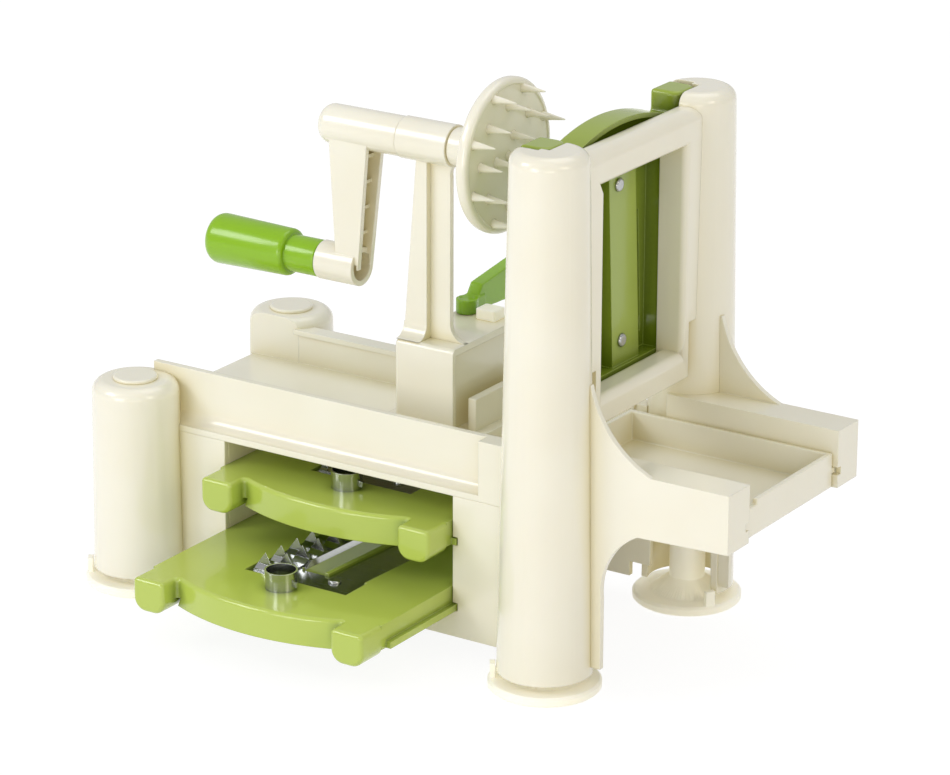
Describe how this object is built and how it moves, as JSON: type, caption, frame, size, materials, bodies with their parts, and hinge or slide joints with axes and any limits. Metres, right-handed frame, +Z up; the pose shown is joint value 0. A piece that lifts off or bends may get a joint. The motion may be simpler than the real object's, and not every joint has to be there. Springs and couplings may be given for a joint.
{
  "type": "hand cranked spiral slicer",
  "caption": "Hand cranked spiral slicer on suction feet, with a sliding crank carriage, pronged wheel, upright blade insert, stored inserts and a catch tray.",
  "frame": {"origin": "middle of the bounding box's bottom face, on the table", "axes": "+X from the crank end towards the blade end and tray, +Y away from the side that the drawers open on, +Z up"},
  "size_m": [0.3268, 0.2052, 0.2452],
  "materials": {
    "ivory_plastic": "glossy moulded ivory plastic",
    "foot_plastic": "soft white plastic",
    "leaf_green_plastic": "glossy moulded yellow-green plastic",
    "grip_green_plastic": "glossy moulded green plastic",
    "blade_steel": "rolled stainless strip"
  },
  "bodies": {
    "base": {"near_side_wall": "ivory_plastic", "far_side_wall": "ivory_plastic", "end_wall": "ivory_plastic", "deck": "ivory_plastic", "near_short_post": "ivory_plastic", "far_short_post": "ivory_plastic", "near_tall_post": "ivory_plastic", "far_tall_post": "ivory_plastic", "post_plugs": "ivory_plastic", "window_frame": "ivory_plastic", "near_arm": "ivory_plastic", "far_arm": "ivory_plastic", "left_slot_guide": "ivory_plastic", "right_slot_guide": "ivory_plastic", "foot_near_short": "foot_plastic", "foot_far_short": "foot_plastic", "foot_near_tall": "foot_plastic", "foot_far_tall": "foot_plastic", "foot_nuts": "foot_plastic"},
    "tray": {"catch_tray": "ivory_plastic"},
    "carriage": {"slider_base": "ivory_plastic", "slider_block": "ivory_plastic", "crank_column": "ivory_plastic", "shaft_bushes": "ivory_plastic", "lever_stop": "foot_plastic", "lever_pin": "grip_green_plastic"},
    "crank": {"crank_shaft": "blade_steel", "crank_arm": "ivory_plastic", "prong_wheel": "ivory_plastic", "wheel_neck": "ivory_plastic", "wheel_tines": "ivory_plastic", "grip_pin": "blade_steel"},
    "grip": {"hand_grip": "grip_green_plastic"},
    "lever": {"push_lever": "grip_green_plastic"},
    "work_insert": {"work_insert_frame": "leaf_green_plastic", "work_insert_blade": "blade_steel", "work_insert_ring": "blade_steel", "work_insert_rivets": "blade_steel"},
    "upper_insert": {"upper_insert_frame": "leaf_green_plastic", "upper_insert_blade": "blade_steel", "upper_insert_ring": "blade_steel", "upper_insert_rivets": "blade_steel", "upper_insert_comb": "blade_steel"},
    "lower_insert": {"lower_insert_frame": "leaf_green_plastic", "lower_insert_blade": "blade_steel", "lower_insert_ring": "blade_steel", "lower_insert_rivets": "blade_steel", "lower_insert_comb": "blade_steel"}
  },
  "joints": [
    {"name": "carriage_slide", "type": "slide", "parent": "base", "child": "carriage", "axis": [1, 0, 0], "range_m": [-0.095, 0.02]},
    {"name": "crank_spin", "type": "hinge", "parent": "carriage", "child": "crank", "pos_m": [-0.0333, 0.0184, 0.211], "axis": [1, 0, 0], "continuous": true},
    {"name": "grip_spin", "type": "hinge", "parent": "crank", "child": "grip", "pos_m": [-0.0941, 0.0184, 0.1474], "axis": [1, 0, 0], "continuous": true},
    {"name": "lever_swing", "type": "hinge", "parent": "carriage", "child": "lever", "pos_m": [-0.0253, 0.0549, 0.1218], "axis": [0, 0, 1], "range_deg": [0, 85]},
    {"name": "work_insert_lift", "type": "slide", "parent": "base", "child": "work_insert", "axis": [0, 0, 1], "range_m": [0, 0.1]},
    {"name": "upper_insert_pull", "type": "slide", "parent": "base", "child": "upper_insert", "axis": [0, -1, 0], "range_m": [0, 0.1]},
    {"name": "lower_insert_pull", "type": "slide", "parent": "base", "child": "lower_insert", "axis": [0, -1, 0], "range_m": [-0.0495, 0.05]},
    {"name": "tray_pull", "type": "slide", "parent": "base", "child": "tray", "axis": [1, 0, 0], "range_m": [0, 0.05]}
  ]
}
